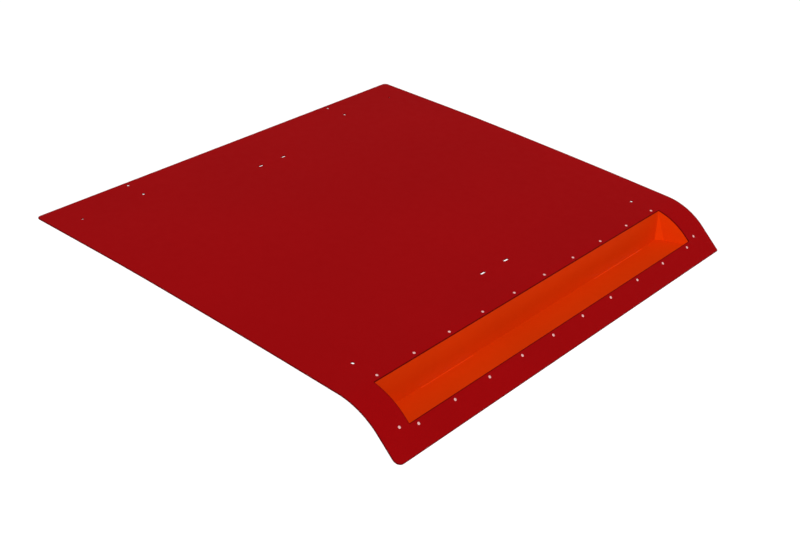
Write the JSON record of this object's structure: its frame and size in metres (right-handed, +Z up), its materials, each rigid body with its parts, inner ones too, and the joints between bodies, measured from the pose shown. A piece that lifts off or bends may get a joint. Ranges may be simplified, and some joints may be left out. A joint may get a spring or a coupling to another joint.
{
  "type": "vehicle roof panel",
  "caption": "Folded sheet roof panel for an off-road vehicle, with a riveted pocket for a light bar in its rolled front edge.",
  "frame": {"origin": "on the underside of the level main panel, on the middle line, half way along the level stretch", "axes": "+X to the vehicle's right, across the panel; -Y to the front, where the nose rolls down and the pocket is; +Z up, square to the level main panel"},
  "size_m": [1.232, 1.139, 0.0947],
  "materials": {
    "red_powder_coat": "dark red powder coat, satin",
    "orange_powder_coat": "deep orange powder coat, satin",
    "rivet_aluminium": "plain rivet aluminium",
    "pin_steel": "zinc plated steel, broken end"
  },
  "bodies": {
    "root": {"roof_panel": "red_powder_coat", "pocket_tray": "orange_powder_coat", "pocket_end_left": "orange_powder_coat", "pocket_end_right": "orange_powder_coat", "rivet_rear_01": "rivet_aluminium", "rivet_rear_02": "rivet_aluminium", "rivet_rear_03": "rivet_aluminium", "rivet_rear_04": "rivet_aluminium", "rivet_rear_05": "rivet_aluminium", "rivet_rear_06": "rivet_aluminium", "rivet_rear_07": "rivet_aluminium", "rivet_rear_08": "rivet_aluminium", "rivet_rear_09": "rivet_aluminium", "rivet_rear_10": "rivet_aluminium", "rivet_front_01": "rivet_aluminium", "rivet_front_02": "rivet_aluminium", "rivet_front_03": "rivet_aluminium", "rivet_front_04": "rivet_aluminium", "rivet_front_05": "rivet_aluminium", "rivet_front_06": "rivet_aluminium", "rivet_front_07": "rivet_aluminium", "rivet_front_08": "rivet_aluminium", "rivet_front_09": "rivet_aluminium", "rivet_front_10": "rivet_aluminium", "rivet_end_left": "rivet_aluminium", "rivet_end_right": "rivet_aluminium", "pin_rear_01": "pin_steel", "pin_rear_02": "pin_steel", "pin_rear_03": "pin_steel", "pin_rear_04": "pin_steel", "pin_rear_05": "pin_steel", "pin_rear_06": "pin_steel", "pin_rear_07": "pin_steel", "pin_rear_08": "pin_steel", "pin_rear_09": "pin_steel", "pin_rear_10": "pin_steel", "pin_front_01": "pin_steel", "pin_front_02": "pin_steel", "pin_front_03": "pin_steel", "pin_front_04": "pin_steel", "pin_front_05": "pin_steel", "pin_front_06": "pin_steel", "pin_front_07": "pin_steel", "pin_front_08": "pin_steel", "pin_front_09": "pin_steel", "pin_front_10": "pin_steel", "pin_end_left": "pin_steel", "pin_end_right": "pin_steel"}
  },
  "joints": []
}
